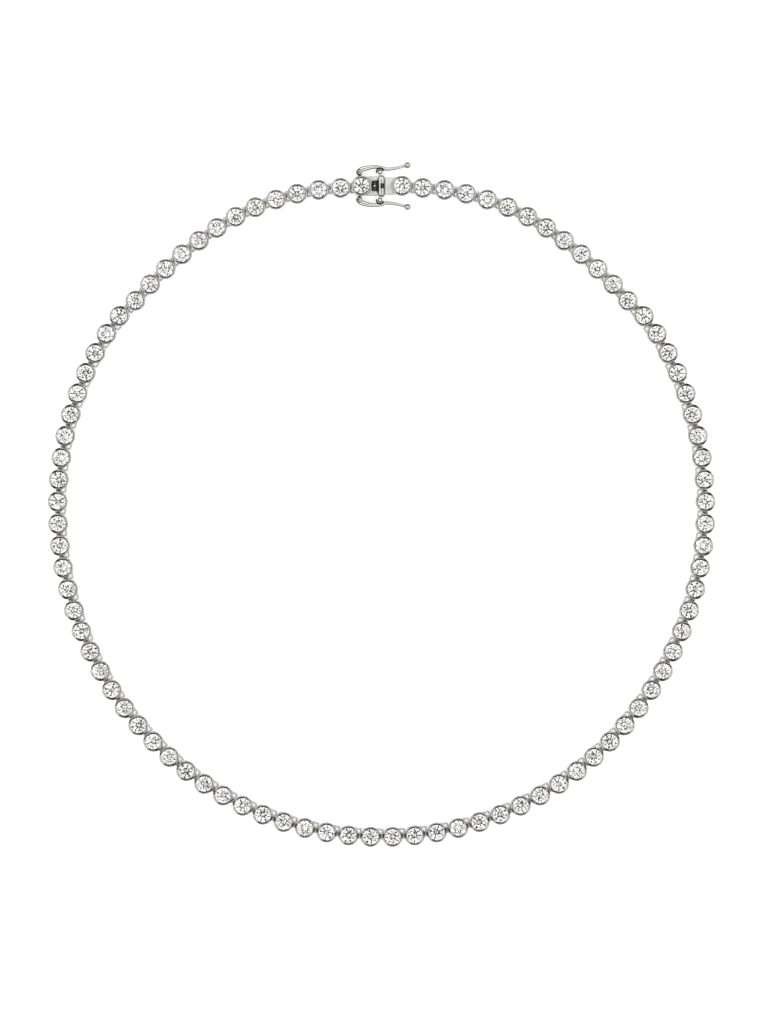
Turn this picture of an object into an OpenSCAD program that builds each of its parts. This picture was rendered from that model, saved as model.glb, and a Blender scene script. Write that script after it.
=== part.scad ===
// Riviere necklace: a closed line of ninety round collet links and a box clasp with two safety catches.
// It lies flat with the stones up. X runs across the necklace, Y from its front to its clasp.
// A link's own frame has U along the line, V away from the neck and its origin on the line of joints.

/* [Line of links] */
// Links on each side of the front, with joints set in from the stones towards the neck
front_links = 33; // [30:1:35]
// Links on each side of the nape, with joints on the line of the stones
nape_links = 12; // [11:1:13]
// How far the joints of the front links lie inside the line of their stones
joint_set_in = 0.6; // [0.4:0.1:0.7]
// Half the length of the clasp, from its middle to the joint with the first link
clasp_half = 6.4; // [6.3:0.05:6.5]

/* [Outline of one side, from the front to the clasp] */
// Radius of the front curve
front_r = 66.5; // [66.2:0.1:66.7]
// Turn of the front curve in degrees
front_turn = 45; // [44:0.5:46]
// Radius of the side curve
side_r = 70.5; // [70.2:0.1:70.6]
// Turn of the side curve in degrees
side_turn = 73; // [72:0.5:73.5]
// Radius of the shoulder, where the two kinds of link meet
shoulder_r = 39; // [36:1:40]
// Turn of the shoulder in degrees
shoulder_turn = 7; // [6:0.5:7.5]
// Radius of the flat stretch behind the shoulder
back_r = 87; // [86:0.5:88]
// Turn of the flat stretch in degrees
back_turn = 19.5; // [19:0.5:20]
// Radius of the nape curve, which takes the rest of the half turn
nape_r = 52; // [51.5:0.1:52.2]

/* [Collet and stone] */
// Diameter of a stone at its girdle
stone_d = 3.4; // [3.3:0.05:3.42]
// Diameter of a collet at its rim
rim_d = 4.3; // [4.26:0.02:4.3]
// Height of a collet from its foot to its rim
collet_h = 2.75; // [2.7:0.05:2.85]
// Diameter of the straight lower part of a collet
collar_d = 2.9; // [2.8:0.05:2.9]
// Diameter of the open back of a collet
bore_d = 2.2; // [2.1:0.05:2.25]

/* [Joint between links] */
// Wire and plate thickness of the eye and the loop
wire = 0.4; // [0.36:0.02:0.4]
// Width of the gallery plate that carries the eye
plate_w = 2.4; // [2.2:0.1:2.5]
// Width of the slot in the eye
slot_w = 1.5; // [1.3:0.1:1.5]
// Free space round a loop in its eye, above and below the plate
play = 0.15; // [0.12:0.01:0.16]

/* [Clasp] */
// Width of the box
box_w = 4.04; // [3.9:0.02:4.1]
// Height of the box
box_h = 2.15; // [2.1:0.05:2.25]
// Length of the end cap between the box and the bridge
cap_l = 1.54; // [1.4:0.02:1.6]
// Width of the end cap
cap_w = 4.6; // [4.4:0.1:4.6]
// Diameter of the ball that each safety catch closes over
stud_d = 1; // [0.9:0.02:1.04]
// Diameter of the ball at the tip of each catch
tip_d = 1.44; // [1.2:0.04:1.5]
// Diameter of the pin that each catch turns on
pin_d = 0.6; // [0.56:0.02:0.64]
// Thickness of a catch
catch_t = 0.76; // [0.7:0.02:0.78]

/* [Hidden] */
$fn = 48;
// Overlap of joined shapes and of cuts with what they cut
eps = 0.05;
// Radial play of a catch on its pin
running_fit = 0.03;
// Least gap between pieces that only lie side by side
clear = 0.1;

// Outline: each arc is [radius, turn]
nape_turn = 180 - front_turn - side_turn - shoulder_turn - back_turn;
ARCS = [
    [front_r, front_turn],
    [side_r, side_turn],
    [shoulder_r, shoulder_turn],
    [back_r, back_turn],
    [nape_r, nape_turn]
];
function arc_length(arc) = arc[0] * arc[1] * PI / 180;
function total(list, i = 0) = i < len(list) ? list[i] + total(list, i + 1) : 0;
// A pose is [x, y, heading]
function turned(pose, r, a) = [
    pose[0] + r * (sin(pose[2] + a) - sin(pose[2])),
    pose[1] + r * (cos(pose[2]) - cos(pose[2] + a)),
    pose[2] + a
];
function along(s, pose, i = 0) =
    i == len(ARCS) - 1 || s <= arc_length(ARCS[i])
        ? turned(pose, ARCS[i][0], s / ARCS[i][0] * 180 / PI)
        : along(s - arc_length(ARCS[i]), turned(pose, ARCS[i][0], ARCS[i][1]), i + 1);
arcs_length = total([for (arc = ARCS) arc_length(arc)]);
arcs_end = along(arcs_length, [0, 0, 0]);

// A short straight at the middle of the front closes the outline on the clasp
front_straight = clasp_half - arcs_end[0];
half_length = front_straight + arcs_length;
links_per_side = front_links + nape_links;
pitch = half_length / links_per_side;

// The box round the whole necklace is centred on the origin
clasp_set_out = 0.4;
tip_y = 4.46;
reach_back = arcs_end[1] + clasp_set_out + tip_y + tip_d / 2;
reach_front = joint_set_in + rim_d / 2;
front_y = (reach_front - reach_back) / 2;
clasp_y = front_y + arcs_end[1] + clasp_set_out;
function right_pose(s) = s < front_straight
    ? [s, front_y, 0]
    : along(s - front_straight, [front_straight, front_y, 0]);
function line_pose(s) = s >= 0
    ? right_pose(s)
    : let (p = right_pose(-s)) [-p[0], p[1], -p[2]];

// Stone: cut angles of a round brilliant
crown_angle = 34;
pavilion_angle = 41;
girdle_t = 0.08;
stone_r = stone_d / 2;
table_r = 0.57 * stone_r;
star_r = (table_r + stone_r) / 2;
lower_half_r = 0.22 * stone_r;
girdle_depth = 0.45;
girdle_z = collet_h - girdle_depth;
crown_h = (stone_r - table_r) * tan(crown_angle);
pavilion_h = stone_r * tan(pavilion_angle);

// Collet
rim_r = rim_d / 2;
collar_r = collar_d / 2;
bore_r = bore_d / 2;
collar_h = 1.5;
rim_bevel = 0.1;
groove_r = stone_r + 0.11;
lip_r = stone_r - 0.08;
lip_flare = 0.12;
seat_drop = 0.06;
lip_rise = 0.08;

// Joint: distances along U from the middle of a link
plate_z = 0.6;
loop_bottom = plate_z - play - wire;
loop_top = plate_z + wire + play + wire;
eye_past_joint = 0.43;
slot_slack = 0.03;
shoulder_gap = 0.3;
loop_root = 0.35;
eye_end = pitch / 2 + eye_past_joint;
slot_end = eye_end - wire;
loop_end = pitch - slot_end + play + wire;
slot_start = slot_end - wire - 2 * play - slot_slack;
shoulder = pitch - eye_end - shoulder_gap;

// Clasp: its joints lie nearer to its stones than on a link
clasp_joint = 2.09;
clasp_stone_x = clasp_half - clasp_joint;
clasp_nearer = pitch / 2 - clasp_joint;

// Box of the clasp, from its closed end at x = -box_end to its mouth at x = -mouth_x
box_end = 3.9;
mouth_x = 0.95;
cavity_end = 2.95;
floor_t = 0.4;
cavity_top = 1.6;
thumb_slot_end = 2.1;
thumb_slot_w = 2.3;

// Tongue of the clasp: folded blade, thumb button, end cap, bridge
mouth_gap = 0.13;
cap_x = mouth_gap - mouth_x;
cap_over_box = 0.25;
cap_corner = 0.7;
recess_x = cap_x + 0.55;
recess_l = 0.8;
recess_w = 1.08;
recess_z = 1.7;
blade_play = 0.2;
blade_t = 0.22;
blade_fold = 0.4;
blade_rise = 0.15;
blade_free_x = -1.2;
button_x = -1.5;
button_d = 0.44;
knob_d = 0.62;
knob_t = 0.25;
knob_gap = 0.15;
bridge_w = 3.6;
bridge_z = 0.3;
bridge_t = 1.6;
bridge_into_collet = 1.2;

// Pivots and studs of the safety catches, in the heights of the catches
stud_x = -0.32;
stud_y = 3;
stud_neck_d = 0.5;
pivot_x = -4.78;
pivot_y = 2.95;
ear_w = 0.9;
ear_d = 1.1;
ear_z = 0.45;
ear_t = 0.45;
boss_wall = 0.32;
head_d = 1.04;
head_t = 0.25;
catch_z = ear_z + ear_t + clear;
catch_mid_z = catch_z + catch_t / 2;
head_z = catch_z + catch_t + clear;

// n points on a circle of radius r at height z, the first one at the angle start
function ring(r, z, n, start = 0) =
    [for (i = [0:n - 1]) [r * cos(start + i * 360 / n), r * sin(start + i * 360 / n), z]];
// Points of a rectangle from [x0, y0] to [x1, y1] with each corner in n short straights
function corner(x, y, r, a, n = 2) =
    [for (i = [0:n]) [x + r * cos(a + 90 * i / n), y + r * sin(a + 90 * i / n)]];
function soft_rect(x0, y0, x1, y1, r) = concat(
    corner(x1 - r, y1 - r, r, 0),
    corner(x0 + r, y1 - r, r, 90),
    corner(x0 + r, y0 + r, r, 180),
    corner(x1 - r, y0 + r, r, 270)
);

// One round brilliant with its girdle's lower edge at z = 0. Its rings of points, from the top, are the
// table, the star tips, the two edges of the girdle, the lower half tips and the culet.
module brilliant() {
    m = tan(crown_angle);
    crown_z = girdle_t + crown_h;
    star_z = crown_z - (star_r * cos(22.5) - table_r) * m;
    tip_z = -pavilion_h + lower_half_r * cos(22.5) * tan(pavilion_angle);
    points = concat(
        ring(table_r, crown_z, 8),
        ring(star_r, star_z, 8, 22.5),
        ring(stone_r, girdle_t, 16),
        ring(stone_r, 0, 16),
        ring(lower_half_r, tip_z, 8, 22.5),
        [[0, 0, -pavilion_h]]
    );
    star = 8;
    upper = 16;
    lower = 32;
    tip = 48;
    culet = 56;
    faces = concat(
        [[for (i = [0:7]) 7 - i]],
        [for (i = [0:7]) [i, (i + 1) % 8, star + i]],
        [for (i = [0:7]) [i, star + i, upper + 2 * i, star + (i + 7) % 8]],
        [for (i = [0:7]) [star + i, upper + 2 * i + 1, upper + 2 * i]],
        [for (i = [0:7]) [star + i, upper + (2 * i + 2) % 16, upper + 2 * i + 1]],
        [for (i = [0:15]) [upper + i, upper + (i + 1) % 16, lower + (i + 1) % 16, lower + i]],
        [for (i = [0:7]) [tip + i, lower + 2 * i, lower + 2 * i + 1]],
        [for (i = [0:7]) [tip + i, lower + 2 * i + 1, lower + (2 * i + 2) % 16]],
        [for (i = [0:7]) [culet, tip + (i + 7) % 8, lower + 2 * i, tip + i]]
    );
    polyhedron(points, faces);
}

// Outside of a collet: straight collar, flare, rim with a small bevel
module collet_outside(foot = 0) {
    rotate_extrude()
        polygon([
            [0, foot],
            [collar_r, foot],
            [collar_r, collar_h],
            [rim_r, girdle_z],
            [rim_r, collet_h - rim_bevel],
            [rim_r - rim_bevel, collet_h],
            [0, collet_h]
        ]);
}

// Inside of a collet: open back, seat at the pavilion's angle, groove at the girdle, lip over the crown
module collet_inside(back = -eps) {
    seat_z = girdle_z - seat_drop;
    bore_top = seat_z - (groove_r - bore_r) * tan(pavilion_angle);
    lip_z = girdle_z + girdle_t + lip_rise;
    rotate_extrude()
        polygon([
            [0, back],
            [bore_r, back],
            [bore_r, bore_top],
            [groove_r, seat_z],
            [groove_r, lip_z],
            [lip_r, lip_z + (groove_r - lip_r) * tan(crown_angle)],
            [lip_r + lip_flare, collet_h],
            [lip_r + lip_flare, collet_h + eps],
            [0, collet_h + eps]
        ]);
}

// Flat eye that reaches to u = end, its slot open for the neighbour's loop
module eye(end, start) {
    translate([0, 0, plate_z])
        linear_extrude(wire)
            difference() {
                polygon(soft_rect(start, -plate_w / 2, end, plate_w / 2, wire));
                translate([end - eye_end + slot_start, -slot_w / 2])
                    square([slot_end - slot_start, slot_w]);
            }
}

// Upright loop that reaches back to u = -end and closes round the neighbour's eye
module loop(end) {
    translate([0, wire / 2, 0])
        rotate([90, 0, 0])
            linear_extrude(wire)
                difference() {
                    polygon(soft_rect(-end, loop_bottom, loop_root - collar_r, loop_top, wire));
                    polygon(soft_rect(
                        wire - end,
                        loop_bottom + wire,
                        -max(shoulder + end - loop_end, collar_r - eps / 2),
                        loop_top - wire,
                        wire / 4
                    ));
                }
}

// One link. Its stone sits set_out from the line of joints.
module link(set_out) {
    difference() {
        union() {
            translate([0, set_out, 0])
                collet_outside();
            eye(eye_end, -shoulder);
            loop(loop_end);
        }
        translate([0, set_out, 0])
            collet_inside();
    }
}

// Places its children at link k of the line, counted from the box of the clasp. V points away from the neck.
module at_link(k) {
    pose = line_pose((k - links_per_side - 0.5) * pitch);
    translate([pose[0], pose[1], 0])
        rotate(pose[2])
            mirror([0, 1, 0])
                children();
}
function set_out_of(k) = min(k, 2 * links_per_side + 1 - k) > nape_links ? joint_set_in : 0;

module chain() {
    color("gainsboro")
        for (k = [1:2 * links_per_side])
            at_link(k)
                link(set_out_of(k));
}

module stones() {
    color("aliceblue") {
        for (k = [1:2 * links_per_side])
            at_link(k)
                translate([0, set_out_of(k), girdle_z])
                    brilliant();
        for (side = [-1, 1])
            translate([side * clasp_stone_x, clasp_y, girdle_z])
                brilliant();
    }
}

// Ear under each catch with the riveted pin that the catch turns on
module pivot(side) {
    reach = norm([pivot_x + clasp_stone_x, pivot_y]);
    away = atan2(side * pivot_y, pivot_x + clasp_stone_x);
    translate([-clasp_stone_x, 0, ear_z])
        rotate(away)
            translate([0, -ear_w / 2, 0])
                cube([reach, ear_w, ear_t]);
    translate([pivot_x, side * pivot_y, ear_z]) {
        cylinder(h = ear_t, d = ear_d);
        cylinder(h = head_z - ear_z + head_t / 2, d = pin_d);
        translate([0, 0, head_z - ear_z])
            cylinder(h = head_t, d = head_d);
    }
}

// Left half of the clasp: the box, its collet, the eye for the first link and the two pivots
module clasp_box() {
    color("gainsboro")
        translate([0, clasp_y, 0])
            difference() {
                union() {
                    translate([-box_end, -box_w / 2, 0])
                        cube([box_end - mouth_x, box_w, box_h]);
                    translate([-clasp_stone_x, 0, 0])
                        collet_outside(clear);
                    translate([-clasp_stone_x, -clasp_set_out, 0])
                        rotate(180)
                            eye(eye_end - clasp_nearer, 0);
                    for (side = [-1, 1])
                        pivot(side);
                }
                translate([-clasp_stone_x, 0, 0])
                    collet_inside(plate_z);
                translate([-cavity_end, -box_w / 2 + floor_t, floor_t])
                    cube([cavity_end, box_w - 2 * floor_t, cavity_top - floor_t]);
                translate([-thumb_slot_end, -thumb_slot_w / 2, floor_t])
                    cube([thumb_slot_end, thumb_slot_w, box_h]);
            }
}

// Folded spring that enters the box, with the thumb button that frees it
module tongue_blade() {
    blade_w = box_w - 2 * floor_t - 2 * blade_play;
    low = floor_t + blade_rise;
    high = cavity_top - blade_rise;
    fold = blade_rise - cavity_end;
    knob_z = box_h + knob_gap;
    stem_z = high - blade_t - eps;
    translate([0, blade_w / 2, 0])
        rotate([90, 0, 0])
            linear_extrude(blade_w)
                polygon([
                    [fold, low],
                    [cap_x + eps, low],
                    [cap_x + eps, low + blade_t],
                    [fold + blade_fold, low + blade_t],
                    [blade_free_x, high - blade_t],
                    [blade_free_x, high],
                    [fold, low + 1.5 * blade_t]
                ]);
    translate([button_x, 0, stem_z])
        cylinder(h = knob_z + knob_t / 2 - stem_z, d = button_d);
    translate([button_x, 0, knob_z])
        cylinder(h = knob_t, d = knob_d);
}

// Rounded cap that closes the mouth of the box, with a recess on top and a snap stud at each end
module end_cap() {
    difference() {
        translate([0, 0, clear])
            linear_extrude(box_h + cap_over_box)
                polygon(soft_rect(cap_x, -cap_w / 2, cap_x + cap_l, cap_w / 2, cap_corner));
        translate([recess_x, -recess_w / 2, recess_z])
            cube([recess_l, recess_w, box_h]);
    }
    for (side = [-1, 1]) {
        translate([stud_x, 0, catch_mid_z])
            rotate([-90 * side, 0, 0])
                cylinder(h = stud_y, d = stud_neck_d);
        translate([stud_x, side * stud_y, catch_mid_z])
            sphere(d = stud_d);
    }
}

// Right half of the clasp: blade, end cap, bridge, collet and the loop to the last link
module clasp_tongue() {
    bridge_start = cap_x + cap_l - eps;
    color("gainsboro")
        translate([0, clasp_y, 0])
            difference() {
                union() {
                    tongue_blade();
                    end_cap();
                    translate([bridge_start, -bridge_w / 2, bridge_z])
                        cube([clasp_stone_x - bridge_into_collet - bridge_start, bridge_w, bridge_t]);
                    translate([clasp_stone_x, 0, 0])
                        collet_outside();
                    translate([clasp_stone_x, -clasp_set_out, 0])
                        rotate(180)
                            loop(loop_end - clasp_nearer);
                }
                translate([clasp_stone_x, 0, 0])
                    collet_inside();
            }
}

// Centre line of a catch, from its pivot over the stud to its tip: each row is [x, y, half width]
CATCH = [
    [pivot_x, pivot_y, 0.5],
    [-4.35, 3.65, 0.44],
    [-3.2, 4.0, 0.36],
    [-1.7, 4.06, 0.34],
    [-0.3, 3.98, 0.32],
    [1.2, 3.6, 0.27],
    [3.2, 3.85, 0.24],
    [5.49, tip_y, 0.22]
];
catch_steps = 5;
function row(i) = CATCH[max(0, min(len(CATCH) - 1, i))];
// Smooth curve through the rows, t from 0 to 1 between row i and the next
function smooth(i, t) =
    0.5 * (
        2 * row(i)
        + (row(i + 1) - row(i - 1)) * t
        + (2 * row(i - 1) - 5 * row(i) + 4 * row(i + 1) - row(i + 2)) * t * t
        + (3 * row(i) - row(i - 1) - 3 * row(i + 1) + row(i + 2)) * t * t * t
    );
catch_line = concat(
    [for (i = [0:len(CATCH) - 2], j = [0:catch_steps - 1]) smooth(i, j / catch_steps)],
    [row(len(CATCH) - 1)]
);
function side_point(i, side) =
    let (
        a = catch_line[max(0, i - 1)],
        b = catch_line[min(len(catch_line) - 1, i + 1)],
        d = [b[0] - a[0], b[1] - a[1]] / norm([b[0] - a[0], b[1] - a[1]])
    )
    [catch_line[i][0] - side * d[1] * catch_line[i][2], catch_line[i][1] + side * d[0] * catch_line[i][2]];

// Safety catch: a bowed lever on the pin, over the stud, with a ball for the fingernail
module catch_lever() {
    last = len(catch_line) - 1;
    difference() {
        union() {
            translate([0, 0, catch_z])
                linear_extrude(catch_t)
                    polygon(concat(
                        [for (i = [0:last]) side_point(i, 1)],
                        [for (i = [0:last]) side_point(last - i, -1)]
                    ));
            translate([pivot_x, pivot_y, catch_z])
                cylinder(h = catch_t, d = pin_d + 2 * boss_wall);
            translate([row(len(CATCH) - 1)[0], tip_y, catch_mid_z])
                sphere(d = tip_d);
        }
        translate([pivot_x, pivot_y, 0])
            cylinder(h = head_z + 1, d = pin_d + 2 * running_fit);
    }
}

module catch_outer() {
    color("lightgray")
        translate([0, clasp_y, 0])
            catch_lever();
}

module catch_inner() {
    color("lightgray")
        translate([0, clasp_y, 0])
            mirror([0, 1, 0])
                catch_lever();
}

chain();
stones();
clasp_box();
clasp_tongue();
catch_outer();
catch_inner();
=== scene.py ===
# %% [markdown]
# A riviere necklace, finished
#
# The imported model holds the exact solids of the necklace: collet links, stones and the two halves of the
# clasp with its safety catches. This lesson gives each of them its finished form, with softened edges,
# crowned rims and fully cut stones, and then the metal, the diamond, the light and the camera. We start by
# loading the model and keeping its size, because nothing that we add may reach outside it.

import random
from math import atan2, copysign, cos, hypot, pi, radians, sin, tan

import bmesh
import bpy
from mathutils import Matrix, Vector


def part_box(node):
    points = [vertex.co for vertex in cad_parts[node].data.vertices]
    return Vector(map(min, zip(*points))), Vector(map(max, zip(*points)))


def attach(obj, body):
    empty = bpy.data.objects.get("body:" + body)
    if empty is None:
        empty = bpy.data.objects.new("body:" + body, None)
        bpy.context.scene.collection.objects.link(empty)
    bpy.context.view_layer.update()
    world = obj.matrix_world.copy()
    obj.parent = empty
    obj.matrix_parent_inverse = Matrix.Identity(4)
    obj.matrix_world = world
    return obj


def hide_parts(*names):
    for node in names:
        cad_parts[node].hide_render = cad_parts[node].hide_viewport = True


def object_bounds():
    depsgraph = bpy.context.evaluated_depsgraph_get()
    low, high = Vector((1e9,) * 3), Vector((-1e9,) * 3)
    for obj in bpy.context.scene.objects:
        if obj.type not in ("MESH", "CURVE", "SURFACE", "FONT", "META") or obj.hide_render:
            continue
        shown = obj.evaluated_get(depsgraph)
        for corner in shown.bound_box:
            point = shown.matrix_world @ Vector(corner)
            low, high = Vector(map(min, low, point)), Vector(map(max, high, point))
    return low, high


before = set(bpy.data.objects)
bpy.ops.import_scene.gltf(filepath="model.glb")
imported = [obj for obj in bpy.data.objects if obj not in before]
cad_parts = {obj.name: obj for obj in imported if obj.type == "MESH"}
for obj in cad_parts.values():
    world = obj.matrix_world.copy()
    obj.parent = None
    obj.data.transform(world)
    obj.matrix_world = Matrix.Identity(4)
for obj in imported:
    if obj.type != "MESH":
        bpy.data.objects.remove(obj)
cad_low, cad_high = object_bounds()
scene = bpy.context.scene
print("nodes", sorted(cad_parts), "box", [round(1000 * x, 2) for x in cad_high - cad_low])

# %% [markdown]
# Drawing in millimetres
#
# A jeweller thinks in tenths of a millimetre, and Blender's mesh operators lose small edges when a whole
# stone is three thousandths of a unit wide. So each mesh is drawn in millimetres and scaled to metres once,
# at the end, when it becomes an object. The same step shades it smooth, but keeps an edge crisp where two
# faces meet at a real angle.

# %% From a bmesh to a piece
MM = 0.001
SAME_SPOT = 0.0005
CRISP = radians(32)


def as_piece(bm, name, body, slot, *materials, crisp=CRISP):
    """A finished piece from a bmesh in millimetres. With crisp 0 every face stays flat, as on a cut stone."""
    bmesh.ops.scale(bm, vec=(MM, MM, MM), verts=bm.verts)
    mesh = bpy.data.meshes.new(name)
    bm.to_mesh(mesh)
    bm.free()
    if crisp:
        mesh.shade_smooth()
        mesh.set_sharp_from_angle(angle=crisp)
    for material in materials:
        mesh.materials.append(material)
    piece = bpy.data.objects.new(name, mesh)
    scene.collection.objects.link(piece)
    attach(piece, body)
    triangles = sum(len(face.vertices) - 2 for face in mesh.polygons)
    print(name, "triangles", triangles)
    return piece


def tidied(bm):
    """Merges doubles and turns every face outwards."""
    bmesh.ops.remove_doubles(bm, verts=bm.verts, dist=SAME_SPOT)
    bmesh.ops.recalc_face_normals(bm, faces=bm.faces)
    return bm


def everything(bm):
    """All the vertices, edges and faces of a bmesh, for the operators that ask for them."""
    return bm.verts[:] + bm.edges[:] + bm.faces[:]


def add_copy(target, source, matrix):
    """Adds a copy of the bmesh source, moved by matrix, to the bmesh target."""
    mesh = bpy.data.meshes.new("copy")
    source.to_mesh(mesh)
    mesh.transform(matrix)
    if matrix.determinant() < 0:
        mesh.flip_normals()
    target.from_mesh(mesh)
    bpy.data.meshes.remove(mesh)


# %% [markdown]
# Solder and saw
#
# A link is a collet, a plate and a loop that are soldered into one piece, and then drilled. Three
# overlapping shells would look much the same, but a Boolean modifier gives one clean solid with real seams,
# so that is what we use. It runs on throw-away objects, once for each kind of link, and the copies come
# later.

# %% Join and cut
def boolean(base, tool, operation):
    """The bmesh base joined with the bmesh tool, or cut by it. Both are used up."""
    objects = []
    for bm in (base, tool):
        mesh = bpy.data.meshes.new("blank")
        bm.to_mesh(mesh)
        bm.free()
        blank = bpy.data.objects.new("blank", mesh)
        scene.collection.objects.link(blank)
        objects.append(blank)
    work = objects[0].modifiers.new("work", "BOOLEAN")
    work.operation = operation
    work.object = objects[1]
    work.solver = "EXACT"
    bpy.context.view_layer.update()
    done = objects[0].evaluated_get(bpy.context.evaluated_depsgraph_get())
    result = bmesh.new()
    result.from_mesh(done.data)
    for blank in objects:
        mesh = blank.data
        bpy.data.objects.remove(blank)
        bpy.data.meshes.remove(mesh)
    bmesh.ops.dissolve_degenerate(result, edges=result.edges, dist=SAME_SPOT)
    return tidied(result)


def joined(*shells):
    """All the shells, soldered into one bmesh."""
    base = shells[0]
    for shell in shells[1:]:
        base = boolean(base, shell, "UNION")
    return base


def soften(bm, width, segments=2, where=lambda edge: True, angle=25):
    """Bevels the edges of a bmesh that are sharper than an angle."""
    sharp = [e for e in bm.edges if e.is_manifold and e.calc_face_angle() > radians(angle) and where(e)]
    bmesh.ops.bevel(
        bm, geom=sharp, offset=width, offset_type="OFFSET", segments=segments,
        profile=0.5, affect="EDGES", material=-1, clamp_overlap=True,
    )
    return tidied(bm)


# %% [markdown]
# Turned shapes
#
# A collet is turned metal: every section through its axis is the same. It could be a stack of cones, but
# one outline of radius and height, spun a full turn, is closer to how it is made and easier to change. The
# spin is merged at its end, and the sharp rings are rounded afterwards with a bevel, the way that a turned
# edge is broken with a file.

# %% Spin an outline
AROUND = 48


def turned(outline, steps=AROUND):
    """Spins a closed outline of (radius, height) points round Z. Points on the axis close the shape there."""
    bm = bmesh.new()
    points = [bm.verts.new((r, 0, z)) for r, z in outline]
    for a, b in zip(points, points[1:] + points[:1]):
        if a.co.x > 0 or b.co.x > 0:
            bm.edges.new((a, b))
    bmesh.ops.spin(
        bm, geom=bm.verts[:] + bm.edges[:], cent=(0, 0, 0), axis=(0, 0, 1), dvec=(0, 0, 0),
        angle=2 * pi, steps=steps, use_merge=True, use_duplicate=False,
    )
    return tidied(bm)


def block(low, high):
    """A box between two corners."""
    bm = bmesh.new()
    size = Vector(high) - Vector(low)
    bmesh.ops.create_cube(bm, size=1)
    bmesh.ops.scale(bm, vec=size, verts=bm.verts)
    bmesh.ops.translate(bm, vec=Vector(low) + size / 2, verts=bm.verts)
    return bm


def upright(edge):
    """Whether an edge stands upright."""
    a, b = edge.verts
    return (a.co.xy - b.co.xy).length < SAME_SPOT


def rod(radius, low, high, edge=0.0, steps=24):
    """An upright rod between two heights, with its ends rounded by edge."""
    bm = turned([(0, low), (radius, low), (radius, high), (0, high)], steps)
    if edge:
        soften(bm, width=edge, segments=3)
    return bm


def moved(bm, *steps):
    """The bmesh after some matrices, in the order that they are given."""
    for step in steps:
        bmesh.ops.transform(bm, matrix=step, verts=bm.verts)
        if step.determinant() < 0:
            bmesh.ops.reverse_faces(bm, faces=bm.faces)
    return bm


# %% [markdown]
# The collet
#
# Each stone sits in a rub-over collet: a straight collar, a flare that follows the pavilion, and a rim that
# was pushed over the stone's edge with a burnisher. From above the rim is all that shows. It is no flat
# ring: a bright-cut slope rises from the stone, a narrow crest runs near the outside, and a burnished slope
# falls to the wall. A flat top would mirror one spot of the room as an even grey ring, while the two slopes
# look low into the room and draw the two dark lines that frame every stone in the photograph. The other
# numbers are the solids' own.

# %% Collet outline
COLLET_H = 2.75
RIM_R = 2.144
COLLAR_R = 1.45
COLLAR_H = 1.5
BORE_R = 1.1
STONE_R = 1.7
GIRDLE_Z = 2.3
GIRDLE_T = 0.08
GROOVE_R = STONE_R + 0.11
GROOVE_TOP = GIRDLE_Z + GIRDLE_T + 0.08
LIP_R = STONE_R - 0.08
LIP_Z = 2.588
LIP_EDGE = 0.04
CREST_R = 1.97
CREST_HALF = 0.03
OUTER_FALL = 0.15
SEAT_Z = GIRDLE_Z - 0.06
PAVILION = radians(41)
BORE_TOP = SEAT_Z - (GROOVE_R - BORE_R) * tan(PAVILION)
OVERLAP = 0.1


def collet_body(foot=0.0):
    """The outside of a collet as a solid, before it is bored for its stone."""
    body = turned([
        (0, foot), (COLLAR_R, foot), (COLLAR_R, COLLAR_H), (RIM_R, GIRDLE_Z),
        (RIM_R, COLLET_H - OUTER_FALL), (CREST_R + CREST_HALF, COLLET_H), (0, COLLET_H),
    ])
    return soften(body, width=0.06, angle=12)


def collet_bore(back=-OVERLAP):
    """What is taken out of a collet: open back, seat, groove for the girdle and the slope inside the rim."""
    return turned([
        (0, back), (BORE_R, back), (BORE_R, BORE_TOP), (GROOVE_R, SEAT_Z), (GROOVE_R, GROOVE_TOP),
        (LIP_R, LIP_Z - LIP_EDGE), (LIP_R + LIP_EDGE, LIP_Z - LIP_EDGE / 2), (CREST_R - CREST_HALF, COLLET_H),
        (CREST_R - CREST_HALF, COLLET_H + OVERLAP), (0, COLLET_H + OVERLAP),
    ])


print("rim", RIM_R - LIP_R, "mm wide, bored from", round(BORE_TOP, 2), "mm up")

# %% [markdown]
# Eye and loop
#
# The links are joined like a fine hinge: a flat eye at one end, and an upright loop of the neighbour
# through it. Both are small frames of wire. We cut a thin block along the four sides of its window, take
# the window's two faces away and bridge the two rims that are left, which keeps the mesh to a few large
# faces that bevel well.

# %% A small frame of wire
SLACK = 0.01


def wire_frame(size_x, size_y, window_x, window_y, thick, corner, edge=0.09):
    """A flat plate on XY with a window, each size a (low, high) pair, its corners and edges rounded."""
    bm = block((size_x[0], size_y[0], -thick / 2), (size_x[1], size_y[1], thick / 2))
    for axis, pair in ((0, window_x), (1, window_y)):
        for place_on_axis in pair:
            normal = Vector((0, 0, 0))
            normal[axis] = 1
            bmesh.ops.bisect_plane(
                bm, geom=everything(bm), plane_co=normal * place_on_axis, plane_no=normal, dist=SAME_SPOT,
            )
    middle = Vector((sum(window_x) / 2, sum(window_y) / 2, 0))
    panes = [f for f in bm.faces if (f.calc_center_median().xy - middle.xy).length < SLACK]
    rims = [e for f in panes for e in f.edges]
    bmesh.ops.delete(bm, geom=panes, context="FACES_ONLY")
    bmesh.ops.bridge_loops(bm, edges=rims)
    tidied(bm)
    corners = [e for e in bm.edges if upright(e) and e.calc_face_angle() > radians(60)]
    bmesh.ops.bevel(
        bm, geom=corners, offset=corner, offset_type="OFFSET", segments=3,
        profile=0.5, affect="EDGES", material=-1, clamp_overlap=True,
    )
    return soften(bm, width=edge)


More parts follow.
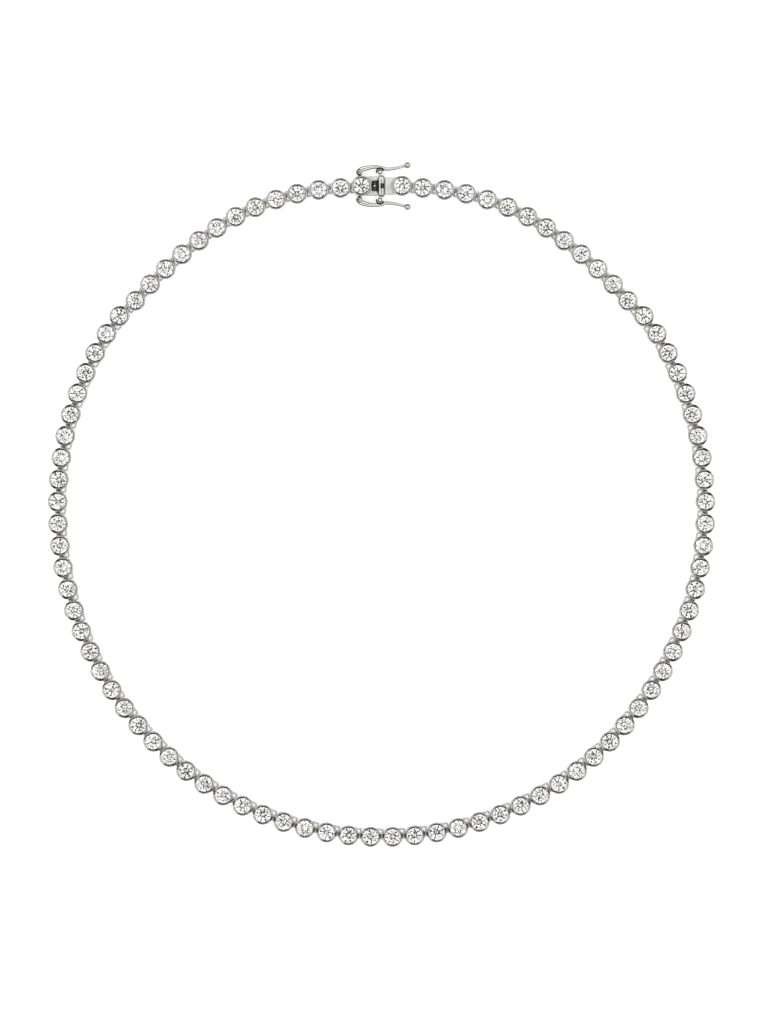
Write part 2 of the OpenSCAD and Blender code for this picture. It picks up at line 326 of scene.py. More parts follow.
PITCH = 4.64568
WIRE = 0.4
PLATE_W = 2.4
PLATE_Z = 0.6
SLOT_OUT = 0.3
SLOT_IN = 0.78
PLAY = 0.15
EYE_END = PITCH / 2 + 0.43
SLOT_END = EYE_END - WIRE
SLOT_START = SLOT_END - WIRE - 2 * PLAY - 0.03
SHOULDER = PITCH - EYE_END - 0.3
LOOP_END = PITCH - SLOT_END + PLAY + WIRE
LOOP_LOW = PLATE_Z - PLAY - WIRE
LOOP_HIGH = PLATE_Z + WIRE + PLAY + WIRE
LOOP_ROOT = 0.35
WINDOW_ROOT = 0.03
ABOVE_LOOP = LOOP_HIGH + 0.05


def eye(end=EYE_END, start=-SHOULDER):
    """The flat eye, from start to end along the line."""
    shift = end - EYE_END
    frame_of_wire = wire_frame(
        (start, end), (-PLATE_W / 2, PLATE_W / 2), (SLOT_START + shift, SLOT_END + shift),
        (-SLOT_OUT, SLOT_IN), WIRE, corner=0.3,
    )
    return moved(frame_of_wire, Matrix.Translation((0, 0, PLATE_Z + WIRE / 2)))


def loop(end=LOOP_END):
    """The upright loop that reaches back over the neighbour's eye."""
    inner = -max(SHOULDER + end - LOOP_END, COLLAR_R - WINDOW_ROOT)
    frame_of_wire = wire_frame(
        (-end, LOOP_ROOT - COLLAR_R), (LOOP_LOW, LOOP_HIGH), (WIRE - end, inner),
        (LOOP_LOW + WIRE, LOOP_HIGH - WIRE), WIRE, corner=0.18,
    )
    return moved(frame_of_wire, Matrix.Rotation(pi / 2, 4, "X"))


def link(set_out):
    """One soldered link. The line runs along X, and the stone sits set_out from it, towards -Y."""
    aside = Matrix.Translation((0, -set_out, 0))
    solid = joined(moved(collet_body(), aside), eye(), loop())
    solid = boolean(solid, moved(collet_bore(), aside), "DIFFERENCE")
    on_link = solid.verts.layers.float_vector.new("on_link")
    for vert in solid.verts:
        vert[on_link] = Vector((vert.co.x, vert.co.y + set_out, 0))
    for face in solid.faces:
        spot = face.calc_center_median()
        on_gallery = hypot(spot.x, spot.y + set_out) > COLLAR_R + SLACK and spot.z < ABOVE_LOOP
        face.material_index = int(on_gallery) + (0 if set_out else 2)
    return solid


SET_OUT = 0.6
front_link = link(SET_OUT)
nape_link = link(0)
print("faces of one link", len(front_link.faces), len(nape_link.faces))

# %% [markdown]
# The line
#
# The necklace lies in a smooth egg shape. Its half outline is five arcs, from the front to the clasp, each
# given by a radius and a turn, and the links follow it at an even pitch. The same five arcs drew the
# solids, so each finished link lands on its own solid, and the check at the end of this cell measures that
# against the stones of the model.

# %% Places along the line
CLASP_HALF = 6.4
CLASP_SET_OUT = 0.4
ARCS = [(66.5, 45), (70.5, 73), (39, 7), (87, 19.5), (52, 35.5)]
FRONT_LINKS = 33
NAPE_LINKS = 12
LINKS = 2 * (FRONT_LINKS + NAPE_LINKS)


def along(distance):
    """(x, y, heading) at a distance along the arcs, which start at the origin, heading to +X."""
    x, y, heading = 0.0, 0.0, 0.0
    for number, (radius, turn) in enumerate(ARCS):
        length = radius * radians(turn)
        last = number == len(ARCS) - 1
        step = distance if last else min(distance, length)
        ahead = heading + step / radius
        x += radius * (sin(ahead) - sin(heading))
        y += radius * (cos(heading) - cos(ahead))
        heading = ahead
        distance -= step
        if distance <= 0:
            break
    return x, y, heading


arcs_length = sum(radius * radians(turn) for radius, turn in ARCS)
end_x, end_y, _ = along(arcs_length)
STRAIGHT = CLASP_HALF - end_x
TIP_X, TIP_Y = 5.49, 4.46
TIP_R = 0.718
CAD_TIP_R = 0.72
CLASP_Y = 1000 * cad_high.y - TIP_Y - CAD_TIP_R
FRONT_Y = CLASP_Y - CLASP_SET_OUT - end_y


def place(number):
    """The matrix of a link, counted from 1 next to the box of the clasp, round the front to the tongue."""
    s = (number - LINKS / 2 - 0.5) * PITCH
    far = abs(s) - STRAIGHT
    x, y, heading = along(far) if far > 0 else (far, 0, 0)
    x, y = x + STRAIGHT, y + FRONT_Y
    if s < 0:
        x, heading = -x, -heading
    return Matrix.Translation((x, y, 0)) @ Matrix.Rotation(heading, 4, "Z")


def set_out_of(number):
    """Links at the front carry their stones outside the line, those at the nape on it."""
    return SET_OUT if min(number, LINKS + 1 - number) > NAPE_LINKS else 0.0


CLASP_STONE_X = CLASP_HALF - 2.09
seats = [place(n) @ Matrix.Translation((0, -set_out_of(n), GIRDLE_Z)) for n in range(1, LINKS + 1)]
seats += [Matrix.Translation((side * CLASP_STONE_X, CLASP_Y, GIRDLE_Z)) for side in (-1, 1)]
solid_reach = 1000 * max(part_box("stones")[1].x, -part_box("stones")[0].x)
reach = max(seat.translation.x for seat in seats) + STONE_R
print("stones", len(seats), "reach", round(reach, 3), "in the solids", round(solid_reach, 3))

# %% [markdown]
# The box of the clasp
#
# The closed half of the clasp is a small box of sheet metal with its mouth towards the tongue and a slot in
# its roof for the thumb. One collet of the line is soldered on it, with a closed back here, then the eye
# for the first link and an ear on each side for a safety catch. We solder the solid parts first and saw the
# openings last, in the order of the bench, so the collet's wall and the box's roof stay whole where they
# meet.

# %% Box, ears and pins
BOX_LOW, BOX_HIGH = (-3.9, -2.02, 0), (-0.95, 2.02, 2.15)
CAVITY_LOW, CAVITY_HIGH = (-2.95, -1.62, 0.4), (0, 1.62, 1.6)
SLOT_LOW, SLOT_HIGH = (-2.1, -1.15, 0.5), (0, 1.15, 3)
NEARER = PITCH / 2 - (CLASP_HALF - CLASP_STONE_X)
PIVOT = Vector((-4.78, 2.95, 0))
EAR_Z = 0.45
EAR_T = 0.45
EAR_HALF = 0.45
EAR_R = 0.55
PIN_R = 0.3
CATCH_Z = 1.38
HEAD_R = 0.52
HEAD_Z = 1.86
HEAD_SIDE = 0.1
HEAD_T = 0.25
MIRROR = Matrix.Scale(-1, 4, (0, 1, 0))


def pivot_ear():
    """The ear under the outer catch with its riveted pin."""
    root = Vector((-CLASP_STONE_X, 0, 0))
    arm_end = (PIVOT - root).length
    away = atan2(PIVOT.y, PIVOT.x - root.x)
    arm = soften(block((0, -EAR_HALF, EAR_Z), (arm_end, EAR_HALF, EAR_Z + EAR_T)), width=0.18, segments=3)
    moved(arm, Matrix.Rotation(away, 4, "Z"), Matrix.Translation(root))
    eye_of_ear = rod(EAR_R, EAR_Z, EAR_Z + EAR_T, edge=0.06)
    pin = rod(PIN_R, EAR_Z + OVERLAP, HEAD_Z + OVERLAP)
    head = turned([
        (0, HEAD_Z), (HEAD_R, HEAD_Z), (HEAD_R, HEAD_Z + HEAD_SIDE), (PIN_R, HEAD_Z + HEAD_T),
        (0, HEAD_Z + HEAD_T),
    ], steps=32)
    soften(head, width=0.07, segments=3, where=lambda e: e.verts[0].co.z > HEAD_Z + HEAD_SIDE / 2, angle=15)
    at_pivot = Matrix.Translation(PIVOT)
    return joined(arm, moved(eye_of_ear, at_pivot), moved(pin, at_pivot), moved(head, at_pivot))


at_box = Matrix.Translation((-CLASP_STONE_X, 0, 0))
eye_back = Matrix.Translation((-CLASP_STONE_X, -CLASP_SET_OUT, 0)) @ Matrix.Rotation(pi, 4, "Z")
box = soften(block(BOX_LOW, BOX_HIGH), width=0.14, segments=3)
box = joined(
    box, moved(collet_body(0.1), at_box), moved(eye(EYE_END - NEARER, 0), eye_back),
    pivot_ear(), moved(pivot_ear(), MIRROR),
)
cavity = block(CAVITY_LOW, CAVITY_HIGH)
soften(cavity, width=0.1, where=lambda e: e.verts[0].co.x < CAVITY_LOW[0] + SLACK)
thumb_slot = block(SLOT_LOW, SLOT_HIGH)
soften(
    thumb_slot, width=0.25, segments=3,
    where=lambda e: upright(e) and e.verts[0].co.x < SLOT_LOW[0] + SLACK,
)
for tool in (moved(collet_bore(PLATE_Z), at_box), cavity, thumb_slot):
    box = boolean(box, tool, "DIFFERENCE")
print("faces of the box", len(box.faces), "open edges", sum(not e.is_manifold for e in box.edges))

# %% [markdown]
# The tongue of the clasp
#
# The open half has a spring of folded sheet that snaps behind the mouth of the box, and a small button on
# it that the thumb presses through the slot. Behind it stands a rounded end cap with a sunk recess and a
# ball stud at each end, and a plain bridge plate runs under the last stone. The cap is one block with its
# corners rounded, then its long edges, because in the photograph it shades from white to grey like half a
# tube.

# %% Spring, cap, studs and bridge
CAP_LOW, CAP_HIGH = (-0.82, -2.3, 0.1), (0.72, 2.3, 2.5)
RECESS_LOW, RECESS_HIGH = (-0.27, -0.54, 1.7), (0.53, 0.54, 3)
BRIDGE_LOW, BRIDGE_HIGH = (0.67, -1.8, 0.3), (3.11, 1.8, 1.9)
SPRING = [(-2.8, 0.55), (-0.7, 0.55), (-0.7, 0.77), (-2.4, 0.77), (-1.2, 1.23), (-1.2, 1.45), (-2.8, 0.88)]
SPRING_HALF = 1.42
BUTTON_X = -1.5
BUTTON_STEM = (0.2, 1.1, 2.4)
BUTTON_HEAD = (0.24, 2.3, 2.55)
STUD = Vector((-0.32, 3.0, CATCH_Z))
STUD_R = 0.5
STUD_NECK_R = 0.25


def ball(radius, centre, around=24):
    """A ball."""
    bm = bmesh.new()
    bmesh.ops.create_uvsphere(bm, u_segments=around, v_segments=around // 2, radius=radius)
    return moved(bm, Matrix.Translation(centre))


def sheet(outline, low, high):
    """A sheet cut to an outline of (x, y), from one height to another."""
    bm = bmesh.new()
    face = bm.faces.new([bm.verts.new((x, y, low)) for x, y in outline])
    lifted = bmesh.ops.extrude_face_region(bm, geom=[face])["geom"]
    top = [part for part in lifted if isinstance(part, bmesh.types.BMVert)]
    bmesh.ops.translate(bm, vec=(0, 0, high - low), verts=top)
    return tidied(bm)


spring = moved(sheet(SPRING, -SPRING_HALF, SPRING_HALF), Matrix.Rotation(pi / 2, 4, "X"))
soften(spring, width=0.12, segments=3, where=lambda e: max(v.co.x for v in e.verts) < SPRING[0][0] + SLACK)
button = joined(rod(*BUTTON_STEM), rod(*BUTTON_HEAD, edge=0.18))
moved(button, Matrix.Translation((BUTTON_X, 0, 0)))

cap = soften(block(CAP_LOW, CAP_HIGH), width=0.7, segments=6, where=upright)
soften(cap, width=0.68, segments=6, where=lambda e: min(v.co.z for v in e.verts) > CAP_HIGH[2] - SLACK)
soften(cap, width=0.1, where=lambda e: max(v.co.z for v in e.verts) < CAP_LOW[2] + SLACK)
recess = soften(block(RECESS_LOW, RECESS_HIGH), width=0.12, segments=3, where=upright)
studs = []
for side in (1, -1):
    neck = rod(STUD_NECK_R, 0, STUD.y)
    moved(neck, Matrix.Rotation(-side * pi / 2, 4, "X"), Matrix.Translation((STUD.x, 0, STUD.z)))
    studs += [neck, ball(STUD_R, Vector((STUD.x, side * STUD.y, STUD.z)))]
bridge = soften(block(BRIDGE_LOW, BRIDGE_HIGH), width=0.14, segments=3)
at_tongue = Matrix.Translation((CLASP_STONE_X, 0, 0))
loop_back = Matrix.Translation((CLASP_STONE_X, -CLASP_SET_OUT, 0)) @ Matrix.Rotation(pi, 4, "Z")
cap = boolean(joined(cap, *studs), recess, "DIFFERENCE")
tongue = joined(
    moved(collet_body(), at_tongue), bridge, cap, spring, button, moved(loop(LOOP_END - NEARER), loop_back),
)
tongue = boolean(tongue, moved(collet_bore(), at_tongue), "DIFFERENCE")
print("faces of the tongue", len(tongue.faces), "open edges", sum(not e.is_manifold for e in tongue.edges))

# %% [markdown]
# The safety catches
#
# Each catch is a bowed bar of drawn wire, forged thinner towards its tip. It starts as a boss on the pin,
# rises over the ball stud and ends in a ball for the fingernail. A flat cut plate would catch the light as
# one grey band, but a bar with an oval section carries the thin bright line that runs along it in the
# photograph. So we draw a ring at each step of its middle line and bridge every ring with the next. Each
# row of the line has x, y and half the width.

# %% Bowed bar
BAR = [
    (PIVOT.x, PIVOT.y, 0.5), (-4.45, 3.45, 0.48), (-3.52, 3.76, 0.45), (-2.5, 3.97, 0.4), (-1.4, 4.07, 0.34),
    (-0.3, 3.98, 0.32), (1.2, 3.6, 0.31), (3.2, 3.85, 0.28), (TIP_X, TIP_Y, 0.25),
]
BAR_STEPS = 5
BAR_T = 0.38
BAR_SWELL = 1.15
BAR_CREST = 0.06
FULLNESS = 0.95
BOSS_R = 0.64
DRILL_R = 0.33
DRILL_TOP = 3
CUP_IN, CUP_OUT = 0.58, 0.94
CUP_TURNS = range(15, 196, 15)


def smooth_rows(rows, steps):
    """The rows with smooth steps between them."""
    line = []
    for i in range(len(rows) - 1):
        a, b, c, d = (Vector(rows[max(0, min(len(rows) - 1, i + k))]) for k in (-1, 0, 1, 2))
        for step in range(steps):
            t = step / steps
            line.append(0.5 * (2 * b + (c - a) * t + (2 * a - 5 * b + 4 * c - d) * t ** 2
                               + (3 * b - a - 3 * c + d) * t ** 3))
    return line + [Vector(rows[-1])]


def catch_bar():
    """The outer catch."""
    line = smooth_rows(BAR, BAR_STEPS)
    bar = bmesh.new()
    rings = []
    for i, spot in enumerate(line):
        ahead = line[min(i + 1, len(line) - 1)] - line[max(i - 1, 0)]
        heading = atan2(ahead.y, ahead.x)
        wide, tall = BAR_SWELL * spot.z, min(BAR_T, spot.z + BAR_CREST)
        stand = Matrix.Translation((spot.x, spot.y, CATCH_Z)) @ Matrix.Rotation(heading, 4, "Z")
        stand = stand @ Matrix.Rotation(pi / 2, 4, "Y") @ Matrix.Rotation(pi / 2, 4, "Z")
        ends = i in (0, len(line) - 1)
        ring = bmesh.ops.create_circle(bar, cap_ends=ends, segments=20, radius=1)["verts"]
        for v in ring:
            x, y = (copysign(abs(k) ** FULLNESS, k) for k in v.co.xy)
            v.co = stand @ Vector((wide * x, tall * y, 0))
        rings.append({e for v in ring for e in v.link_edges})
    for near, far in zip(rings, rings[1:]):
        bmesh.ops.bridge_loops(bar, edges=list(near | far))
    tidied(bar)
    boss = rod(BOSS_R, CATCH_Z - BAR_T, CATCH_Z + BAR_T, edge=0.22, steps=32)
    turns = [radians(turn) for turn in CUP_TURNS]
    cup = sheet(
        [(STUD.x + CUP_OUT * cos(a), STUD.y + CUP_OUT * sin(a)) for a in turns]
        + [(STUD.x + CUP_IN * cos(a), STUD.y + CUP_IN * sin(a)) for a in reversed(turns)],
        CATCH_Z - BAR_T, CATCH_Z + BAR_T,
    )
    soften(cup, width=0.06, angle=40)
    at_pivot = Matrix.Translation(PIVOT)
    solid = joined(bar, moved(boss, at_pivot), cup, ball(TIP_R, Vector((TIP_X, TIP_Y, CATCH_Z)), around=28))
    return boolean(solid, moved(rod(DRILL_R, 0, DRILL_TOP, steps=32), at_pivot), "DIFFERENCE")


catches = {"catch_outer": catch_bar(), "catch_inner": moved(catch_bar(), MIRROR)}
print("faces of a catch", len(catches["catch_outer"].faces),
      "open edges", sum(not e.is_manifold for e in catches["catch_outer"].edges))

# %% [markdown]
# Helpers for the nodes
#
# Every surface here is painted by nodes: a noise is placed in millimetres, turned into a colour or a number
# by a ramp, and mixed with the next. Each node could be added and linked by hand, but the same few come back
# in all the materials and in the room. So each of them is one function, which takes an output and gives the
# next one, and a plain number goes straight on the socket.

# %% Nodes
def ramp(nodes, links, source, *stops):
    """A colour ramp on a node's output, with its (position, grey) stops."""
    node = nodes.new("ShaderNodeValToRGB")
    elements = node.color_ramp.elements
    while len(elements) < len(stops):
        elements.new(0.5)
    for element, (position, colour) in zip(elements, stops):
        element.position = position
        element.color = (*colour, 1) if hasattr(colour, "__len__") else (colour, colour, colour, 1)
    links.new(source, node.inputs["Fac"])
    return node.outputs["Color"]


def feed(links, source, socket):
    """Gives a socket the output of another node, or a plain number or colour."""
    if isinstance(source, bpy.types.NodeSocket):
        links.new(source, socket)
    else:
        socket.default_value = source


def noise(nodes, links, coordinates, size_mm, detail=3.0, stretch=(1, 1, 1)):
    """Noise whose grain is about size_mm across."""
    mapping = nodes.new("ShaderNodeMapping")
    mapping.inputs["Scale"].default_value = [k / (size_mm * MM) for k in stretch]
    links.new(coordinates, mapping.inputs["Vector"])
    node = nodes.new("ShaderNodeTexNoise")
    node.inputs["Scale"].default_value = 1.0
    node.inputs["Detail"].default_value = detail
    links.new(mapping.outputs["Vector"], node.inputs["Vector"])
    return node.outputs["Fac"]


def blended(nodes, links, factor, a, b, how="MIX"):
    """Two colours mixed, or multiplied, by a factor."""
    node = nodes.new("ShaderNodeMix")
    node.data_type = "RGBA"
    node.blend_type = how
    for name, source in (("Factor", factor), ("A", a), ("B", b)):
        feed(links, source, node.inputs[name])
    return node.outputs["Result"]


def between(nodes, links, source, start, end, at_start, at_end):
    """A value that goes from at_start to at_end while the source goes from start to end."""
    node = nodes.new("ShaderNodeMapRange")
    for name, value in (("From Min", start), ("From Max", end), ("To Min", at_start), ("To Max", at_end)):
        feed(links, value, node.inputs[name])
    links.new(source, node.inputs["Value"])
    return node.outputs["Result"]


def computed(nodes, links, operation, *sources):
    """One step of arithmetic on one or two outputs or numbers."""
    node = nodes.new("ShaderNodeMath")
    node.operation = operation
    for source, socket in zip(sources, node.inputs):
        feed(links, source, socket)
    return node.outputs["Value"]


print("helpers", [helper.__name__ for helper in (ramp, feed, noise, blended, between, computed)])

# %% [markdown]
# Painted shade in the crevices
#
# Where two collets nearly touch, the metal lies in shade, and that shade is painted into the colour. It is
# no part of the shape, and a darker metal on whole faces would draw a hard patch. Each link carries its own
# coordinates, so the shade can be painted by place: dark on a thin ring round the stone's axis, only near
# both ends of the link, and fading into the open metal.

# %% Painted shade on a ring
FADE = 0.07
CREVICE_HALF = 0.32
# how far the painted crevice shade is shifted across the line, at the front and at the sides
DRIFT_AT_FRONT = 0.25
DRIFT_AT_SIDES = -1.05
# painted shade: light left at the sides and the front, the ring's radius and half width, and whether it
# shifts
RIM_CREVICE = dict(left_at_sides=0.1, left_at_front=0.03, ring_r=2.0, ring_half=0.1, drifts=True)
GAP = dict(left_at_sides=0.12, left_at_front=1.0, ring_r=PITCH / 2, ring_half=0.08, drifts=False)
NAPE_GAP = dict(left_at_sides=0.45, left_at_front=0.45, ring_r=PITCH / 2, ring_half=0.06, drifts=False)


def crevice(nodes, links, left_at_sides, left_at_front, ring_r, ring_half, drifts):
    """How much light is left in the crevices at both ends of a link, on a ring round its stone's axis."""
    place_on_link = nodes.new("ShaderNodeAttribute")
    place_on_link.attribute_name = "on_link"
    parts = nodes.new("ShaderNodeSeparateXYZ")
    links.new(place_on_link.outputs["Vector"], parts.inputs["Vector"])
    x, y, drift = (parts.outputs[name] for name in "XYZ")
    squares = [computed(nodes, links, "MULTIPLY", k, k) for k in (x, y)]
    radius = computed(nodes, links, "SQRT", computed(nodes, links, "ADD", *squares))
    across = computed(nodes, links, "ABSOLUTE", computed(nodes, links, "SUBTRACT", y, drift) if drifts else y)
    off_ring = computed(nodes, links, "ABSOLUTE", computed(nodes, links, "SUBTRACT", radius, ring_r))
    open_metal = between(nodes, links, off_ring, ring_half, ring_half + FADE, 0.0, 1.0)
    left = between(nodes, links, drift, DRIFT_AT_SIDES, DRIFT_AT_FRONT, left_at_sides, left_at_front)
    beside = between(nodes, links, across, CREVICE_HALF, 2 * CREVICE_HALF, left, 1.0)
    return computed(nodes, links, "MAXIMUM", open_metal, beside)


print("film lies thick over", 2 * CREVICE_HALF, "mm of each ring")

# %% [markdown]
# Polished white gold
#
# White gold is plated and polished to a mirror, but a worn mirror: fine polishing lines run over it and it
# is a touch warmer than steel. A plain metallic shader would look like chrome. So a fine noise breaks the
# roughness and tilts the surface by a hair, a slower one shifts the colour, and the surface's own upward
# slope paints shade into the colour, so that its steep flanks are darker than its tops.
#
# The parts of the clasp are finished by different tools, so each has its own metal: polished rims,
# burnished catches, balls at their tips that are painted greyer and darker on their flanks, a brushed box,
# a satin bridge with a lilac tone, a half bright cap and matt galleries. Two near-black metals are painted
# shade: one for the spring inside the box and other faces deep in shade, one for the cups round the snap
# studs.

# %% Metal
# painted shade by slope: (upward part of the normal, what is left of the colour) for each kind of metal
RIM_SLOPE_SHADE = ((0.1, 0.6), (0.5, 0.4), (0.68, 0.3), (0.95, 1.0))
BAR_SLOPE_SHADE = ((0.35, 0.07), (0.65, 0.4), (0.9, 1.0))
TIP_SLOPE_SHADE = ((0.3, 0.3), (0.65, 0.6), (0.95, 0.65))
CAP_SLOPE_SHADE = ((0.2, 0.2), (0.65, 0.55), (0.95, 1.0))
MILD_SLOPE_SHADE = ((0.2, 0.7), (0.65, 0.85), (0.95, 1.0))
POLISHED = ((0.74, 0.73, 0.71), (0.86, 0.85, 0.83), 0.04, 0.12)
BURNISHED = ((0.82, 0.82, 0.80), (0.92, 0.91, 0.89), 0.2, 0.24)
MATT = ((0.88, 0.87, 0.86), (0.94, 0.93, 0.92), 0.5, 0.65)
HALF_BRIGHT = ((0.66, 0.66, 0.64), (0.82, 0.82, 0.80), 0.25, 0.36)
SATIN = ((0.74, 0.73, 0.75), (0.84, 0.83, 0.86), 0.4, 0.55)
BRUSHED = ((0.68, 0.68, 0.67), (0.80, 0.79, 0.78), 0.4, 0.5)
# near-black greys: painted shade inside the box, in the recess, under the collet and beside the pins
DEEP_SHADE = ((0.10, 0.10, 0.10), (0.16, 0.16, 0.16), 0.4, 0.6)
# black greys: painted shade in the cups round the snap studs
CUP_SHADE = ((0.025, 0.025, 0.024), (0.05, 0.05, 0.048), 0.35, 0.5)
CLOUD_SIZE = 3.0
GRAIN_SIZE = 0.35
GRAIN_STRENGTH = 0.15
GRAIN_DEPTH = 0.004


def white_gold(name, dark, light, rough_low, rough_high, lines=(1, 1, 1), painted_shade=MILD_SLOPE_SHADE, crevice_shade=None):
    """White gold between two colours and two roughnesses, with polishing lines along an axis.

    The slope stops say what is left of the colour by the upward part of the slope, as painted shade on the
    flanks; the crevice stops say what is left in a crevice, as painted shade there."""
    material = bpy.data.materials.new(name)
    material.use_nodes = True
    nodes, links = material.node_tree.nodes, material.node_tree.links
    shader = nodes["Principled BSDF"]
    shader.inputs["Metallic"].default_value = 1.0
    spot = nodes.new("ShaderNodeTexCoord").outputs["Object"]
    cloud = noise(nodes, links, spot, CLOUD_SIZE)
    slope = nodes.new("ShaderNodeSeparateXYZ")
    links.new(nodes.new("ShaderNodeTexCoord").outputs["Normal"], slope.inputs["Vector"])
    colour = ramp(nodes, links, cloud, (0.35, dark), (0.65, light))
    # painted shade: darker where the surface faces less upward
    colour = blended(nodes, links, 1.0, colour, ramp(nodes, links, slope.outputs["Z"], *painted_shade), "MULTIPLY")
    # painted shade in the crevices, where the metal has it
    if crevice_shade:
        colour = blended(nodes, links, 1.0, colour, crevice(nodes, links, **crevice_shade), "MULTIPLY")
    links.new(colour, shader.inputs["Base Color"])
    polish = noise(nodes, links, spot, GRAIN_SIZE, detail=4.0, stretch=lines)
    links.new(between(nodes, links, polish, 0.0, 1.0, rough_low, rough_high), shader.inputs["Roughness"])
    bump = nodes.new("ShaderNodeBump")
    bump.inputs["Strength"].default_value = GRAIN_STRENGTH
    bump.inputs["Distance"].default_value = GRAIN_DEPTH * MM
    links.new(polish, bump.inputs["Height"])
    links.new(bump.outputs["Normal"], shader.inputs["Normal"])
    return material


rim_metal = white_gold("white_gold_polished", *POLISHED, painted_shade=RIM_SLOPE_SHADE)
crevice_shaded_rim_metal = white_gold("white_gold_crevice_shade", *POLISHED, painted_shade=RIM_SLOPE_SHADE, crevice_shade=RIM_CREVICE)
gallery_metal = white_gold("white_gold_gallery", *MATT)
gap_shaded_gallery_metal = white_gold("white_gold_gallery_gap_shade", *MATT, crevice_shade=GAP)
nape_shaded_gallery_metal = white_gold("white_gold_gallery_nape_shade", *MATT, crevice_shade=NAPE_GAP)
catch_metal = white_gold("white_gold_catch", *BURNISHED, painted_shade=BAR_SLOPE_SHADE)
tip_metal = white_gold("white_gold_tip", *BURNISHED, painted_shade=TIP_SLOPE_SHADE)
cap_metal = white_gold("white_gold_cap", *HALF_BRIGHT, lines=(4, 1, 1), painted_shade=CAP_SLOPE_SHADE)
plate_metal = white_gold("white_gold_satin", *SATIN, lines=(1, 4, 1))
box_metal = white_gold("white_gold_brushed", *BRUSHED, lines=(1, 5, 1))
deep_shade_metal = white_gold("white_gold_deep_shade", *DEEP_SHADE)
cup_shade_metal = white_gold("white_gold_cup_shade", *CUP_SHADE)
link_metals = (crevice_shaded_rim_metal, gap_shaded_gallery_metal, rim_metal, nape_shaded_gallery_metal)
print("metals", [metal.name for metal in bpy.data.materials if metal.name.startswith("white_gold")])

# %% [markdown]
# The links of the line
#
# Ninety links share two shapes. They could be instances, but here the copies are joined into the left and
# the right side of the line, each one plain mesh. The dark shade between two collets lies level with the
# stones at the front, and it is painted into the colour. Along the sides it lies further out on the rims,
# and a thin dark line of it crosses the gap below them. So each copy is told how far its painted shade is
# shifted. The nape has only a thin painted dark line between its links.

# %% Copy the links along the line
sides = {"links_left": range(1, LINKS // 2 + 1), "links_right": range(LINKS // 2 + 1, LINKS + 1)}
for name, numbers in sides.items():
    line = bmesh.new()
    on_link = line.verts.layers.float_vector.new("on_link")
    for n in numbers:
        first = len(line.verts)
        add_copy(line, front_link if set_out_of(n) else nape_link, place(n))
        line.verts.ensure_lookup_table()
        heading = place(n).to_euler().z
        for vert in line.verts[first:]:
            # how far the painted crevice shade of this link is shifted, by its heading
            vert[on_link].z = DRIFT_AT_FRONT * abs(cos(heading)) + DRIFT_AT_SIDES * abs(sin(heading))
    piece = as_piece(line, name, "necklace", "white_gold", *link_metals)
    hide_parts("chain")
front_link.free()
nape_link.free()

# %% [markdown]
# A finish for each face
#
# Each half of the clasp is one soldered mesh, but its parts were finished by different tools. Separate
# shells would need seams that the real piece doesn't have, so the place of each face decides its metal, by
# the same corners that drew it. Faces deep in shade get a near-black metal as painted shade: inside the
# box, in the cap's recess, on the ear flanks under the box's collet, in the cups round the studs, and beside
# each pin on the flank that looks away from the clasp.

# %% Finish of each face
NEAR = 0.02
RIM_FROM = GIRDLE_Z - 0.1
IN_BOX_Z = SLOT_LOW[2] + 1
RECESS_RIM = 0.06
BRIDGE_EDGE = 0.05
PIN_REACH = 0.7
TURNED_AWAY = -0.2
FACES_UP = 0.9


def within(spot, low, high):
    """Whether a spot lies in or on the block between two corners."""
    return all(a - SLACK < k < b + SLACK for a, k, b in zip(low, spot, high))


def on_rim(spot, stone_x):
    """Whether a spot lies on the rim of the clasp's collet whose stone is at stone_x."""
    return hypot(spot.x - stone_x, spot.y) < RIM_R + NEAR and spot.z > RIM_FROM


def beside_pin(face):
    """Whether a face by one of the pins looks away from the clasp, where shade is painted."""
    spot = face.calc_center_median()
    return hypot(spot.x - PIVOT.x, abs(spot.y) - PIVOT.y) < PIN_REACH and face.normal.x < TURNED_AWAY


def finish_of_box(face):
    """The metal of a face of the clasp's box."""
    spot = face.calc_center_median()
    # painted shade: the ear flanks under the box's collet and the flanks beside the pins get near-black metal
    ear_flank = abs(spot.y) > BOX_HIGH[1] and spot.z < EAR_Z + EAR_T and face.normal.z < FACES_UP
    if ear_flank or beside_pin(face):
        return deep_shade_metal
    if on_rim(spot, -CLASP_STONE_X):
        return rim_metal
    if within(spot, BOX_LOW, (*BOX_HIGH[:2], COLLET_H)):
        return box_metal
    on_eye = spot.x < -CLASP_STONE_X - COLLAR_R and abs(spot.y) < PLATE_W and spot.z < LOOP_HIGH
    return gallery_metal if on_eye else catch_metal


def finish_of_tongue(face):
    """The metal of a face of the clasp's tongue."""
    spot = face.calc_center_median()
    # painted shade: near-black metal inside the box and in the cap's recess
    in_box = spot.x < CAP_LOW[0] - SLACK and spot.z < IN_BOX_Z
    on_cap = within(spot, CAP_LOW, CAP_HIGH)
    if in_box or on_cap and within(spot, RECESS_LOW, (*RECESS_HIGH[:2], CAP_HIGH[2] - RECESS_RIM)):
        return deep_shade_metal
    if on_rim(spot, CLASP_STONE_X):
        return rim_metal
    if on_cap:
        return cap_metal
    return plate_metal if CAP_HIGH[0] < spot.x and spot.z < BRIDGE_HIGH[2] + BRIDGE_EDGE else catch_metal


def finish_of_catch(face):
    """The metal of a face of a catch."""
    spot = face.calc_center_median()
    # painted shade: black metal in the cups round the studs, near-black beside the pins
    if hypot(spot.x - STUD.x, abs(spot.y) - STUD.y) < CUP_OUT + NEAR:
        return cup_shade_metal
    if beside_pin(face):
        return deep_shade_metal
    return tip_metal if hypot(spot.x - TIP_X, abs(spot.y) - TIP_Y) < TIP_R else catch_metal


